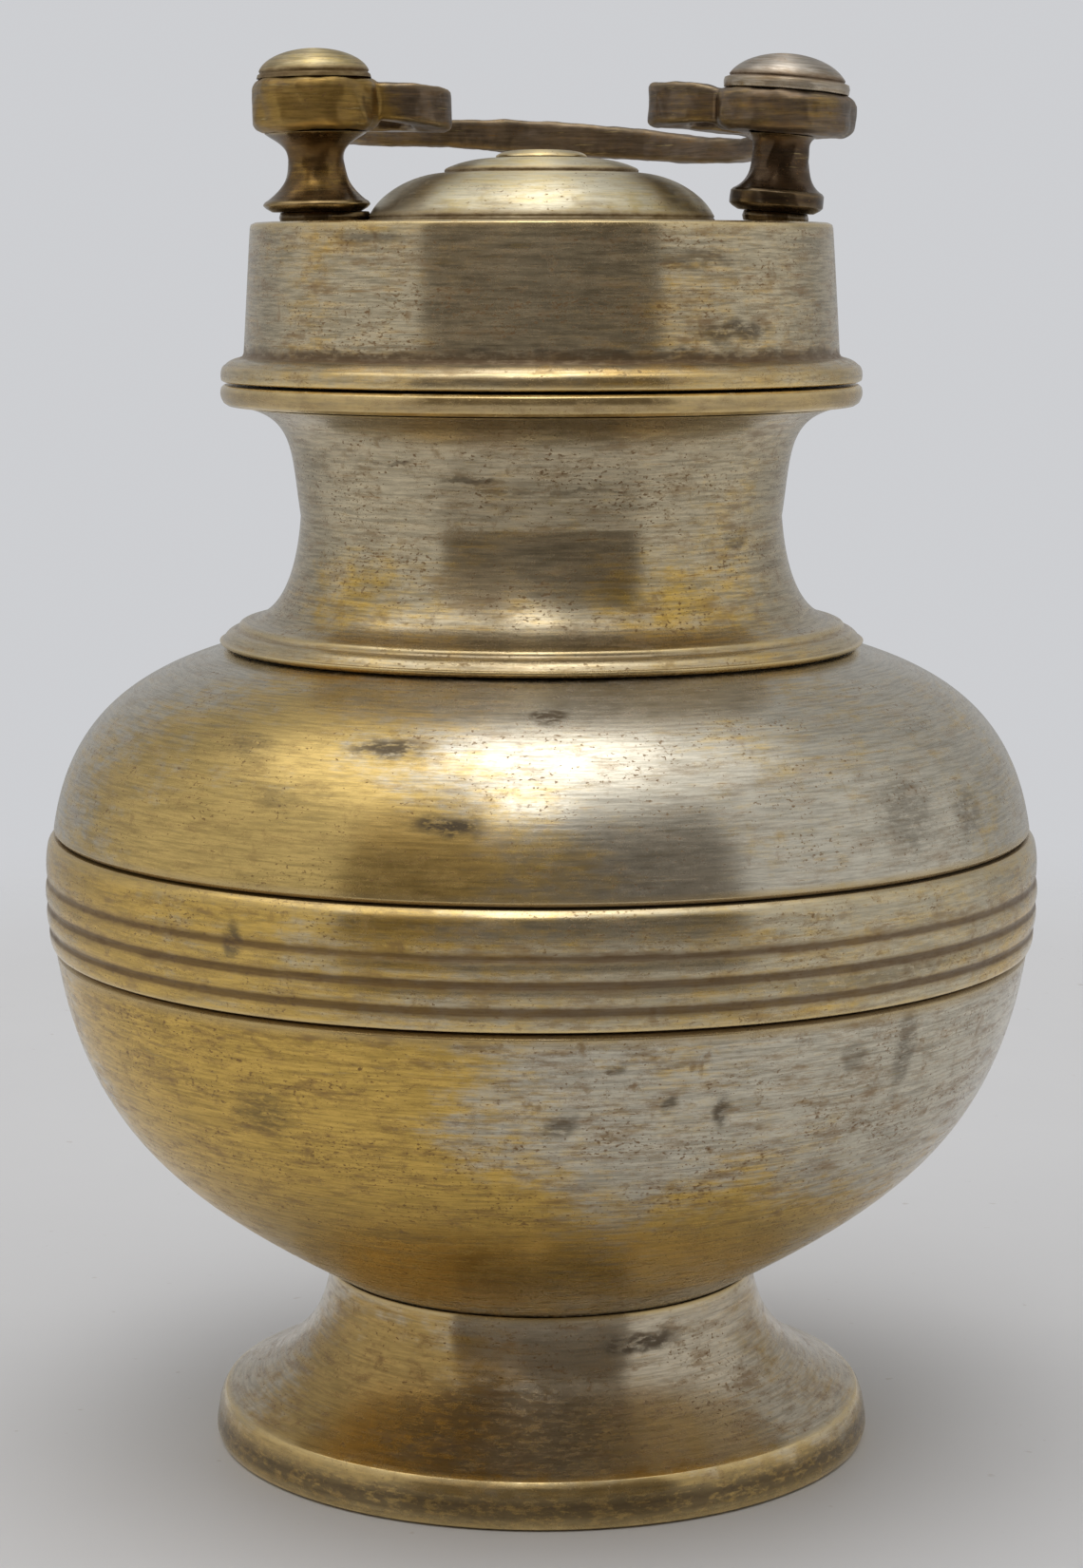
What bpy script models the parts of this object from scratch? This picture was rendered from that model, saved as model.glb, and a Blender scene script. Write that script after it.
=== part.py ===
"""Lidded holy-water pot in turned brass, with a screw lid and a flat bar handle.

The pot stands on the plane z = 0 with its axis on Z.  Lengths below are in millimetres and are
turned into metres by MM.  The screw lid turns about Z and climbs THREAD_PITCH for each turn.
"""

import math

import bmesh
import bpy
from mathutils import Matrix, Vector

MM = 0.001
GAP = 0.3                    # clearance between pieces that touch
WELD = 0.00001               # metres; vertices nearer than this are joined

# Pot
FOOT_RADIUS = 35.1
FOOT_RIM_RADIUS = 34.2
FOOT_RIM_TOP = 4.8
FOOT_TOP = 17.95
FOOT_NECK_RADIUS = 22.8
FOOT_LAND = 3.6              # width of the ring that the pot stands on
BOWL_CENTRE_Z = 60.0         # height of the pot's widest place
BOWL_BOTTOM = 13.6
BOWL_SLOPE = 0.58            # rise over run where the bowl sits on the foot
WALL = 2.2
BAND_BOTTOM = 53.95
BAND_TOP = 65.6
BAND_INNER_RADIUS = 49.6
BAND_ROOT_RADIUS = 52.0      # at the bottom of the grooves, halfway up
BAND_BULGE = 0.012           # loss of radius per square millimetre above or below BOWL_CENTRE_Z
BAND_RIBS = ((4.6, 0.3), (2.5, 0.3), (2.5, 0.3), (2.05, 0.25))   # width and height, top first
SHOULDER_TOP = 84.8
SHOULDER_EDGE = 33.0
COLLAR_RADIUS = 33.85
COLLAR_BEAD_RADIUS = 31.8
NECK_RADIUS = 25.2
NECK_WAIST_Z = 98.5
NECK_BORE = 23.2
FLANGE_RADIUS = 33.3
FLANGE_BOTTOM = 110.0
FLANGE_TOP = 112.15

# Thread
THREAD_PITCH = 4.0
THREAD_DEPTH = 1.2
THREAD_ROOT = 2.2            # width of a tooth at its root
THREAD_TIP = 1.0
MOUTH_RADIUS = 25.7          # outside of the mouth, under the thread
MOUTH_BORE = 23.4
MOUTH_TOP = 123.9
MOUTH_THREAD_START = 114.3
MOUTH_THREAD_TURNS = 2.0
LID_THREAD_START = 114.1
LID_THREAD_TURNS = 1.75

# Lid
LID_BORE = 27.3
LID_BOTTOM = FLANGE_TOP + GAP
LID_STEP_Z = 114.9
LID_WALL_BOTTOM_RADIUS = 30.95
LID_WALL_TOP_RADIUS = 30.15
LID_TOP = 128.7
LID_CEILING = 126.1
SEAL_INNER_RADIUS = 22.9
DOME_RADIUS = 17.9
DOME_STEP_RADIUS = 10.1
DOME_STEP_Z = 133.8
DOME_TOP = 135.3
DOME_WALL = 1.5
BUTTON_RADIUS = 4.75
BUTTON_TOP = 136.2

# Posts and handle
RIVET_RADIUS = 2.2
RIVET_HOLE = RIVET_RADIUS + GAP
TAIL_RADIUS = 3.2
TAIL_HEIGHT = 0.85
STUD_DEPTH = 1.5             # from a cap's top down to the top of the stud inside it
POST_BOTTOM = 129.95
POST_WAIST_Z = 135.2
WASHER_THICKNESS = 0.55
EYE_BEVEL = 0.8
BAR_HEIGHT = 3.9
BAR_WIDTH = 4.0
BAR_BEVEL = 0.5

# Each side was set by hand, so the two differ: lean outward in degrees, radii and heights
SIDES = {
    "left": {"x": -23.2, "lean": -1.0, "seat_radius": 5.3, "waist_radius": 2.85, "flange_radius": 5.55,
             "flange_top": 130.85, "washer_radius": 3.75, "eye_radius": 6.5, "eye_bottom": 138.0,
             "eye_top": 143.5, "cap_radius": 5.8, "cap_top": 146.5},
    "right": {"x": 24.2, "lean": 4.5, "seat_radius": 3.5, "waist_radius": 2.95, "flange_radius": 4.85,
              "flange_top": 131.95, "washer_radius": 3.2, "eye_radius": 7.3, "eye_bottom": 137.8,
              "eye_top": 142.1, "cap_radius": 6.4, "cap_top": 146.0},
}

# The bar's centre line from the left eye, round behind the dome, to the right eye:
# x, y, z and the bar's height there
BAR_ROUTE = (
    (-19.6, 0.8, 141.2, 3.5), (-15.8, 1.6, 141.1, 3.8), (-12.4, 3.2, 140.8, 4.1),
    (-11.5, 6.0, 140.3, 4.1), (-13.2, 8.9, 140.1, 3.6), (-17.2, 10.4, 139.9, 3.0),
    (-21.6, 13.2, 139.4, 2.4), (-22.6, 18.4, 138.8, 2.0), (-19.5, 25.4, 138.4, 1.9),
    (-11.5, 30.8, 138.9, 2.9), (0.0, 33.0, 138.5, 3.7), (11.0, 31.0, 137.7, 3.4),
    (19.0, 25.6, 136.9, 2.8), (23.0, 20.6, 136.9, 2.5), (24.4, 16.4, 137.9, 2.5),
    (22.6, 12.6, 139.2, 2.7), (18.3, 10.2, 139.9, 3.1), (14.7, 8.7, 140.5, 3.8),
    (13.4, 6.0, 141.0, 4.3), (14.3, 3.2, 141.1, 4.2), (17.0, 1.6, 141.0, 3.9), (20.2, 0.8, 140.2, 3.5),
)

# Facets round a full turn
WIDE = 32
MEDIUM = 24
SMALL = 16
CUTTER_TURN = math.radians(4)   # keeps a cutter's facets from lining up with the shell's

FINISHES = {                 # base colour, roughness, metallic
    "brass": ((0.56, 0.50, 0.36, 1.0), 0.38, 1.0),
    "yellow_brass": ((0.52, 0.42, 0.20, 1.0), 0.35, 1.0),
    "bright_brass": ((0.66, 0.60, 0.42, 1.0), 0.30, 1.0),
    "dark_bronze": ((0.13, 0.09, 0.07, 1.0), 0.50, 1.0),
    "leather": ((0.20, 0.11, 0.06, 1.0), 0.80, 0.0),
}


def clear_scene():
    for obj in list(bpy.data.objects):
        bpy.data.objects.remove(obj, do_unlink=True)
    for collection in list(bpy.data.collections):
        bpy.data.collections.remove(collection)


def new_collection(name):
    collection = bpy.data.collections.new(name)
    bpy.context.scene.collection.children.link(collection)
    return collection


def new_material(name, finish):
    colour, roughness, metallic = FINISHES[finish]
    material = bpy.data.materials.new(name + "_" + finish)
    material.use_nodes = True
    shader = material.node_tree.nodes["Principled BSDF"]
    shader.inputs["Base Color"].default_value = colour
    shader.inputs["Roughness"].default_value = roughness
    shader.inputs["Metallic"].default_value = metallic
    return material


def bezier(start, handle_a, handle_b, end, count):
    """Points along a cubic curve, both ends included."""
    points = []
    for i in range(count + 1):
        t = i / count
        weights = ((1 - t) ** 3, 3 * (1 - t) ** 2 * t, 3 * (1 - t) * t ** 2, t ** 3)
        corners = (start, handle_a, handle_b, end)
        points.append(tuple(sum(w * p[k] for w, p in zip(weights, corners)) for k in (0, 1)))
    return points


def ellipse(radius, height, centre_z, angle_from, angle_to, count):
    """Points on an upright ellipse; 0 degrees is level with its centre and 90 is its top."""
    points = []
    for i in range(count + 1):
        angle = math.radians(angle_from + (angle_to - angle_from) * i / count)
        points.append((radius * math.cos(angle), centre_z + height * math.sin(angle)))
    return points


def inset(profile, distance):
    """The profile moved square to itself, to the right of its direction of travel.

    A profile that runs down the outer side of a piece moves into the wall.
    """
    points = []
    for i, (radius, z) in enumerate(profile):
        before = profile[max(i - 1, 0)]
        after = profile[min(i + 1, len(profile) - 1)]
        along = Vector((after[0] - before[0], after[1] - before[1])).normalized()
        points.append((radius + along.y * distance, z - along.x * distance))
    return points


def add_object(name, mesh, collection):
    obj = bpy.data.objects.new(name, mesh)
    collection.objects.link(obj)
    return obj


def profile_mesh(name, profile, closed):
    """A line of vertices in the XZ plane, joined by edges."""
    verts = [(radius * MM, 0.0, z * MM) for radius, z in profile]
    edges = [(i, i + 1) for i in range(len(verts) - 1)]
    if closed:
        edges.append((len(verts) - 1, 0))
    mesh = bpy.data.meshes.new(name)
    mesh.from_pydata(verts, edges, [])
    return mesh


def turned(name, profile, facets, collection, closed=True):
    """A lathe-turned piece.  An open profile starts and ends on the axis."""
    obj = add_object(name, profile_mesh(name, profile, closed), collection)
    screw = obj.modifiers.new("turn", "SCREW")
    screw.axis = "Z"
    screw.angle = 2 * math.pi
    screw.steps = facets
    screw.render_steps = facets
    screw.use_merge_vertices = True
    screw.merge_threshold = WELD
    return obj


def applied(obj, collection):
    """Replace an object by a plain mesh of its evaluated shape."""
    depsgraph = bpy.context.evaluated_depsgraph_get()
    mesh = bpy.data.meshes.new_from_object(obj.evaluated_get(depsgraph))
    name = obj.name
    matrix = obj.matrix_world.copy()
    bpy.data.objects.remove(obj, do_unlink=True)
    mesh.name = name
    result = add_object(name, mesh, collection)
    result.matrix_world = matrix
    return result


def as_tool(obj):
    obj.hide_render = True
    obj.display_type = "WIRE"
    return obj


def boolean(target, tool, operation):
    modifier = target.modifiers.new(operation.lower() + "_" + tool.name, "BOOLEAN")
    modifier.operation = operation
    modifier.solver = "EXACT"
    modifier.object = tool


def tooth(root_radius, tip_radius):
    """The four corners of a thread tooth's section, centred on z = 0."""
    root = THREAD_ROOT / 2
    tip = THREAD_TIP / 2
    if tip_radius > root_radius:
        return [(root_radius, root), (tip_radius, tip), (tip_radius, -tip), (root_radius, -root)]
    return [(tip_radius, tip), (root_radius, root), (root_radius, -root), (tip_radius, -tip)]


def thread(name, root_radius, tip_radius, start_z, turns, start_angle, collection):
    """A right-handed helical rib with blunt ends."""
    obj = turned(name, tooth(root_radius, tip_radius), WIDE, collection)
    screw = obj.modifiers["turn"]
    screw.angle = 2 * math.pi * turns
    screw.screw_offset = THREAD_PITCH * turns * MM
    screw.steps = round(WIDE * turns)
    screw.render_steps = round(WIDE * turns)
    obj.matrix_world = Matrix.Translation((0, 0, start_z * MM)) @ Matrix.Rotation(start_angle, 4, "Z")
    bpy.context.view_layer.update()
    rib = applied(obj, collection)
    work = bmesh.new()
    work.from_mesh(rib.data)
    bmesh.ops.holes_fill(work, edges=work.edges[:], sides=4)
    bmesh.ops.recalc_face_normals(work, faces=work.faces[:])
    work.to_mesh(rib.data)
    work.free()
    return as_tool(rib)


def side_frame(side):
    """Where a post stands: its foot on the lid, leaning outward."""
    foot = Matrix.Translation((side["x"] * MM, 0, LID_TOP * MM))
    down = Matrix.Translation((0, 0, -LID_TOP * MM))
    return foot @ Matrix.Rotation(math.radians(side["lean"]), 4, "Y") @ down


# ---- pot ----

def make_foot(parts):
    trumpet = bezier((FOOT_NECK_RADIUS, FOOT_TOP), (23.4, 12.7), (25.2, 8.8), (33.8, 5.0), 7)
    rim = [(FOOT_RIM_RADIUS, FOOT_RIM_TOP), (FOOT_RADIUS, 1.6), (FOOT_RADIUS, 0.5),
           (FOOT_RADIUS - 0.5, 0.0)]
    inside = list(reversed(inset(trumpet, WALL)))[:-1]
    inside.append((FOOT_NECK_RADIUS - WALL, FOOT_TOP - BOWL_SLOPE * WALL))
    land = [(FOOT_RADIUS - 0.5 - FOOT_LAND, 0.0), (30.6, 2.6)]
    return turned("foot", trumpet + rim + land + inside, WIDE, parts)


def make_lower_bowl(parts):
    rim_z = BAND_BOTTOM - GAP
    flank = bezier((51.3, rim_z - 0.4), (48.5, 35.0), (39.4, 28.2), (22.3, 18.25), 8)
    base = bezier((22.3, 18.25), (16.5, 14.9), (9.0, BOWL_BOTTOM), (0.0, BOWL_BOTTOM), 4)[1:]
    outside = [(50.8, rim_z)] + flank + base
    inside = inset(flank[:1] + flank[2:] + base, WALL)
    inside[0] = (inside[0][0], rim_z)
    inside[-1] = (0.0, BOWL_BOTTOM + WALL)
    profile = list(reversed(inside)) + outside
    return turned("lower_bowl", profile, WIDE, parts, closed=False)


def band_ribs():
    """The ribbed outside of the belly band, from its top edge to its bottom edge."""
    points = []
    top = BAND_TOP
    for width, height in BAND_RIBS:
        for share in (0.04, 0.3, 0.7, 0.96):
            z = top - width * share
            rise = height * math.sin(math.pi * share) ** 0.5
            root = BAND_ROOT_RADIUS - BAND_BULGE * (z - BOWL_CENTRE_Z) ** 2
            points.append((root + rise, z))
        top -= width
    return points


def make_belly_band(parts):
    inside = [(BAND_INNER_RADIUS, BAND_BOTTOM), (BAND_INNER_RADIUS, BAND_TOP)]
    return turned("belly_band", band_ribs() + inside, WIDE, parts)


def make_upper_bowl(parts):
    low = BAND_TOP + GAP
    curve = bezier((SHOULDER_EDGE, SHOULDER_TOP), (45.0, 81.7), (50.0, 75.7), (51.35, low + 0.4), 8)
    outside = curve + [(50.9, low)]
    inside = list(reversed(inset(curve, WALL)))[1:]
    top = [(NECK_BORE + 1.0, SHOULDER_TOP - WALL), (NECK_BORE + 1.0, SHOULDER_TOP)]
    return turned("upper_bowl", outside + [(49.1, low)] + inside + top, WIDE, parts)


def make_neck(parts):
    bottom = SHOULDER_TOP + GAP
    top = FLANGE_BOTTOM - GAP
    flare = bezier((30.9, top), (25.6, 108.6), (26.1, 104.9), (NECK_RADIUS, NECK_WAIST_Z), 6)
    waist = bezier((NECK_RADIUS, NECK_WAIST_Z), (25.6, 93.4), (27.0, 88.3), (31.1, 87.6), 6)[1:]
    collar = [(COLLAR_BEAD_RADIUS, 87.1), (COLLAR_BEAD_RADIUS, 86.65), (32.6, 86.1), (33.6, 85.9),
              (COLLAR_RADIUS, 85.65), (COLLAR_RADIUS - 0.45, bottom)]
    inside = [(NECK_BORE + 1.0, bottom), (NECK_BORE, bottom + 4.0), (NECK_BORE, top)]
    return turned("neck", flare + waist + collar + inside, WIDE, parts)


def make_mouth_ring(parts, tools):
    edge = 0.45
    outside = [(MOUTH_BORE, MOUTH_TOP), (MOUTH_RADIUS - edge, MOUTH_TOP),
               (MOUTH_RADIUS, MOUTH_TOP - edge), (MOUTH_RADIUS, FLANGE_TOP),
               (FLANGE_RADIUS - edge, FLANGE_TOP), (FLANGE_RADIUS, FLANGE_TOP - edge),
               (FLANGE_RADIUS, FLANGE_BOTTOM + edge), (FLANGE_RADIUS - edge, FLANGE_BOTTOM),
               (MOUTH_BORE, FLANGE_BOTTOM)]
    ring = turned("mouth_ring", outside, WIDE, parts)
    rib = thread("mouth_thread", MOUTH_RADIUS - 0.4, MOUTH_RADIUS + THREAD_DEPTH,
                 MOUTH_THREAD_START, MOUTH_THREAD_TURNS, 0.0, tools)
    boolean(ring, rib, "UNION")
    return ring


# ---- lid ----

def make_lid_shell(parts, tools):
    edge = 0.4
    outside = [(RIVET_HOLE, LID_TOP), (LID_WALL_TOP_RADIUS - edge, LID_TOP),
               (LID_WALL_TOP_RADIUS, LID_TOP - edge), (LID_WALL_BOTTOM_RADIUS, LID_STEP_Z + edge),
               (LID_WALL_BOTTOM_RADIUS + edge, LID_STEP_Z), (32.2, 114.72), (33.0, 114.15),
               (33.35, 113.6), (33.35, 112.9), (33.05, LID_BOTTOM)]
    sink = TAIL_RADIUS + GAP
    sink_top = LID_CEILING + TAIL_HEIGHT + GAP
    inside = [(LID_BORE + 0.6, LID_BOTTOM), (LID_BORE, LID_BOTTOM + 0.6), (LID_BORE, LID_CEILING),
              (sink, LID_CEILING), (RIVET_HOLE, sink_top)]
    shell = turned("lid_shell", outside + inside, WIDE, parts)
    rib = thread("lid_thread", LID_BORE + 0.4, LID_BORE - THREAD_DEPTH,
                 LID_THREAD_START, LID_THREAD_TURNS, math.pi, tools)
    boolean(shell, rib, "UNION")
    hole = [(0.0, LID_TOP + 1.0), (RIVET_HOLE, LID_TOP + 1.0), (RIVET_HOLE, sink_top),
            (sink + GAP, LID_CEILING - 0.5), (0.0, LID_CEILING - 0.5)]
    for name, side in SIDES.items():
        cutter = as_tool(turned(name + "_post_hole", hole, SMALL, tools, closed=False))
        cutter.matrix_world = side_frame(side) @ Matrix.Rotation(CUTTER_TURN, 4, "Z")
        boolean(shell, cutter, "DIFFERENCE")
    return shell


def make_lid_seal(parts):
    low = MOUTH_TOP + GAP
    high = LID_CEILING - GAP
    outer = LID_BORE - GAP
    ring = [(SEAL_INNER_RADIUS, high), (outer, high), (outer, low), (SEAL_INNER_RADIUS, low)]
    return turned("lid_seal", ring, WIDE, parts)


def make_lid_dome(parts):
    low = LID_TOP + GAP
    crown = DOME_TOP - 0.1
    cap = bezier((BUTTON_RADIUS + 0.3, DOME_TOP), (7.0, 135.1), (8.6, 134.7), (9.8, 134.2), 3)
    side = bezier((DOME_STEP_RADIUS, DOME_STEP_Z), (13.4, 133.6), (16.6, 131.8),
                  (DOME_RADIUS, low + 0.3), 6)
    foot = [(DOME_RADIUS, low), (DOME_RADIUS - DOME_WALL, low)]
    inner = list(reversed(inset(cap[1:] + side[1:-1], DOME_WALL)))
    profile = [(RIVET_HOLE, crown)] + cap + side + foot + inner + [(RIVET_HOLE, crown - DOME_WALL)]
    return turned("lid_dome", profile, MEDIUM, parts)


def rivet_tail():
    """The flush end of a rivet in the lid's ceiling, from its shank to the axis."""
    end = LID_CEILING + 0.15
    return [(RIVET_RADIUS, end + TAIL_HEIGHT), (TAIL_RADIUS, end), (0.0, end)]


def make_dome_rivet(parts):
    under = DOME_TOP + GAP
    head = [(0.0, BUTTON_TOP), (3.0, BUTTON_TOP - 0.06), (BUTTON_RADIUS - 0.3, BUTTON_TOP - 0.25),
            (BUTTON_RADIUS, under), (RIVET_RADIUS, under)]
    return turned("dome_rivet", head + rivet_tail(), SMALL, parts, closed=False)


def make_post(name, side, parts):
    seat = side["eye_bottom"] - GAP
    stud_top = side["cap_top"] - STUD_DEPTH
    wide = side["seat_radius"]
    waist = side["waist_radius"]
    flange = side["flange_radius"]
    top = side["flange_top"]
    stud = [(0.0, stud_top), (RIVET_RADIUS, stud_top), (RIVET_RADIUS, seat)]
    flare = bezier((wide, seat), (wide - 0.9, seat - 0.7), (waist + 0.1, seat - 1.1),
                   (waist, POST_WAIST_Z), 5)
    skirt = bezier((waist, POST_WAIST_Z), (waist + 0.1, top + 2.4), (flange - 1.9, top + 1.3),
                   (flange - 0.55, top + 0.25), 5)[1:]
    rim = [(flange, top - 0.2), (flange, 130.5), (flange - 0.9, POST_BOTTOM), (RIVET_RADIUS, POST_BOTTOM)]
    outline = stud + flare + skirt + rim + rivet_tail()
    post = turned(name + "_post", outline, SMALL, parts, closed=False)
    post.matrix_world = side_frame(side)
    return post


def make_post_washer(name, side, parts):
    top = POST_BOTTOM - 0.25
    low = top - WASHER_THICKNESS
    wide = side["washer_radius"]
    ring = [(RIVET_HOLE, top), (wide, top), (wide, low), (RIVET_HOLE, low)]
    washer = turned(name + "_post_washer", ring, SMALL, parts)
    washer.matrix_world = side_frame(side)
    return washer


def make_cap(name, side, parts):
    low = side["eye_top"] + GAP
    height = side["cap_top"] - low
    dome = ellipse(side["cap_radius"], height, low, 90, 8, 6)
    dome[0] = (0.0, side["cap_top"])
    hole_top = side["cap_top"] - STUD_DEPTH + GAP
    hole = [(side["cap_radius"], low), (RIVET_HOLE, low), (RIVET_HOLE, hole_top), (0.0, hole_top)]
    cap = turned(name + "_cap", dome + hole, SMALL, parts, closed=False)
    cap.matrix_world = side_frame(side)
    return cap


def make_eye(name, side, tools):
    """The ring at one end of the handle, round a post's stud."""
    top = side["eye_top"]
    low = side["eye_bottom"]
    radius = side["eye_radius"]
    ring = [(RIVET_HOLE, top), (radius - EYE_BEVEL, top), (radius, top - EYE_BEVEL),
            (radius, low + EYE_BEVEL), (radius - EYE_BEVEL, low), (RIVET_HOLE, low)]
    eye = turned(name + "_eye", ring, MEDIUM, tools)
    eye.matrix_world = side_frame(side)
    return as_tool(eye)


def make_bar_section(tools):
    """The bar's cross-section, a rectangle with small bevels, at its fullest size."""
    x = BAR_WIDTH / 2 * MM
    y = BAR_HEIGHT / 2 * MM
    bevel = BAR_BEVEL * MM
    corners = ((x, y - bevel), (x - bevel, y), (bevel - x, y), (-x, y - bevel),
               (-x, bevel - y), (bevel - x, -y), (x - bevel, -y), (x, bevel - y))
    curve = bpy.data.curves.new("bar_section", "CURVE")
    curve.dimensions = "2D"
    spline = curve.splines.new("POLY")
    spline.points.add(len(corners) - 1)
    for point, corner in zip(spline.points, corners):
        point.co = (corner[0], corner[1], 0.0, 1.0)
    spline.use_cyclic_u = True
    return as_tool(add_object("bar_section", curve, tools))


def make_bar(section, tools):
    """The handle's bar, swept along its route and tapered towards its ends."""
    curve = bpy.data.curves.new("handle_bar", "CURVE")
    curve.dimensions = "3D"
    curve.twist_mode = "Z_UP"
    curve.resolution_u = 2
    curve.bevel_mode = "OBJECT"
    curve.bevel_object = section
    curve.use_fill_caps = True
    spline = curve.splines.new("BEZIER")
    spline.bezier_points.add(len(BAR_ROUTE) - 1)
    for point, (x, y, z, height) in zip(spline.bezier_points, BAR_ROUTE):
        point.co = (x * MM, y * MM, z * MM)
        point.radius = height / BAR_HEIGHT
        point.handle_left_type = "AUTO"
        point.handle_right_type = "AUTO"
    bar = add_object("handle_bar", curve, tools)
    bpy.context.view_layer.update()
    bar = applied(bar, tools)
    work = bmesh.new()
    work.from_mesh(bar.data)
    bmesh.ops.remove_doubles(work, verts=work.verts[:], dist=WELD)
    bmesh.ops.recalc_face_normals(work, faces=work.faces[:])
    work.to_mesh(bar.data)
    work.free()
    return bar


def make_handle(parts, tools):
    bar = make_bar(make_bar_section(tools), tools)
    handle = add_object("handle", bar.data.copy(), parts)
    bpy.data.objects.remove(bar, do_unlink=True)
    for name, side in SIDES.items():
        boolean(handle, make_eye(name, side, tools), "UNION")
    return handle


def give_material(obj, finish):
    obj.data.materials.clear()
    obj.data.materials.append(new_material(obj.name, finish))
    obj.data.shade_smooth()


def parent_to_axis(pieces, parts):
    """The lid's pieces hang on an empty on the lid's axis."""
    axis = bpy.data.objects.new("lid_axis", None)
    axis.location = (0.0, 0.0, LID_BOTTOM * MM)
    parts.objects.link(axis)
    bpy.context.view_layer.update()
    for piece in pieces:
        world = piece.matrix_world.copy()
        piece.parent = axis
        piece.matrix_world = world


def main():
    clear_scene()
    parts = new_collection("holy_water_pot")
    tools = new_collection("cutters")
    pot = {
        "brass": [make_foot(parts), make_upper_bowl(parts), make_belly_band(parts), make_neck(parts),
                  make_mouth_ring(parts, tools)],
        "yellow_brass": [make_lower_bowl(parts)],
    }
    lid = {
        "brass": [make_lid_shell(parts, tools)],
        "bright_brass": [make_lid_dome(parts), make_dome_rivet(parts)],
        "leather": [make_lid_seal(parts)],
        "dark_bronze": [make_handle(parts, tools)],
    }
    for name, side in SIDES.items():
        post_finish = "yellow_brass" if name == "left" else "dark_bronze"
        lid.setdefault(post_finish, []).append(make_post(name, side, parts))
        lid["dark_bronze"].append(make_post_washer(name, side, parts))
        lid["brass"].append(make_cap(name, side, parts))
    for group in (pot, lid):
        for finish, pieces in group.items():
            for piece in pieces:
                give_material(piece, finish)
    parent_to_axis([piece for pieces in lid.values() for piece in pieces], parts)


main()
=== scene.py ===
"""Looks of the lidded holy-water pot: fine meshes, worn metal, a pale floor and soft studio light.

Lengths are in millimetres until MM turns them into metres, and each piece stands where its CAD
node stands.  A bearing is an angle in degrees round the pot: 0 at the front (-Y), 90 at +X.
"""

import math

import bpy
import numpy as np
from mathutils import Matrix, Vector, noise


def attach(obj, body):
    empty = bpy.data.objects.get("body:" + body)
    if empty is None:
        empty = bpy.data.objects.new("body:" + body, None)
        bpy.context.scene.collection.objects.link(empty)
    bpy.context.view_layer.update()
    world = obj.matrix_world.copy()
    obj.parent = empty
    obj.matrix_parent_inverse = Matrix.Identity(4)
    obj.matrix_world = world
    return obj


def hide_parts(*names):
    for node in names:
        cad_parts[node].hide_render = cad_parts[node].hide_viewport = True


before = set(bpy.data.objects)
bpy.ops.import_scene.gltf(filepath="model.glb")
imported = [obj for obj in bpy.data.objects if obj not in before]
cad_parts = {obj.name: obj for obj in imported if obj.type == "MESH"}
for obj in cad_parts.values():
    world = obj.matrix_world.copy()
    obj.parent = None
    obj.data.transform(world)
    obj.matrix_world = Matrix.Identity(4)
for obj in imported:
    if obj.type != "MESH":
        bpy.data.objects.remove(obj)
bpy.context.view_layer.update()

MM = 0.001
GAP = 0.3                    # the CAD's gap between pieces that are brazed or lie on each other
SEAM = 0.1                   # how far a visual edge reaches into that gap

# Pot
FOOT_RADIUS = 35.1
FOOT_TOP = 17.95
FOOT_NECK_RADIUS = 22.8
BOWL_CENTRE_Z = 60.0         # height of the pot's widest place
BOWL_BOTTOM = 13.6
BOWL_SLOPE = 0.58            # rise over run where the bowl sits on the foot
WALL = 2.2
BAND_BOTTOM = 53.95
BAND_TOP = 65.6
BAND_INNER_RADIUS = 49.6
BAND_ROOT_RADIUS = 52.0      # at the bottom of the grooves, halfway up
BAND_BULGE = 0.012           # loss of radius per square millimetre above or below BOWL_CENTRE_Z
BAND_RIBS = ((4.6, 0.3), (2.5, 0.3), (2.5, 0.3), (2.05, 0.25))   # width and height, top first
SHOULDER_TOP = 84.8
SHOULDER_EDGE = 33.0
NECK_RADIUS = 25.2
NECK_WAIST_Z = 98.5
NECK_BORE = 23.2
FLANGE_RADIUS = 33.3
FLANGE_BOTTOM = 110.0
FLANGE_TOP = 112.15

# Thread
THREAD_PITCH = 4.0
THREAD_DEPTH = 1.2
THREAD_ROOT = 2.2            # width of a tooth at its root
THREAD_TIP = 1.0
MOUTH_RADIUS = 25.7          # outside of the mouth, under the thread
MOUTH_BORE = 23.4
MOUTH_TOP = 123.9
MOUTH_THREAD_START = 114.3
MOUTH_THREAD_TURNS = 2.0
LID_THREAD_START = 114.1
LID_THREAD_TURNS = 1.75

# Lid
LID_BORE = 27.3
LID_BOTTOM = 112.45
LID_STEP_Z = 114.9
LID_WALL_BOTTOM_RADIUS = 30.95
LID_WALL_TOP_RADIUS = 30.15
LID_TOP = 128.7
LID_CEILING = 126.1
SEAL_INNER_RADIUS = 22.9
DOME_RADIUS = 17.9
DOME_WALL = 1.5
BUTTON_RADIUS = 4.75
BUTTON_TOP = 136.2

# Posts and handle
RIVET_RADIUS = 2.2
RIVET_HOLE = 2.5
TAIL_RADIUS = 3.2
STUD_DEPTH = 1.5             # from a cap's top down to the top of the stud inside it
CAP_HOLE_DEPTH = 1.3         # from a cap's top down to the top of the hole for the stud
POST_BOTTOM = 129.95
POST_WAIST_Z = 135.2
BAR_HEIGHT = 3.9
BAR_WIDTH = 4.0
BAR_BEVEL = 0.5

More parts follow.
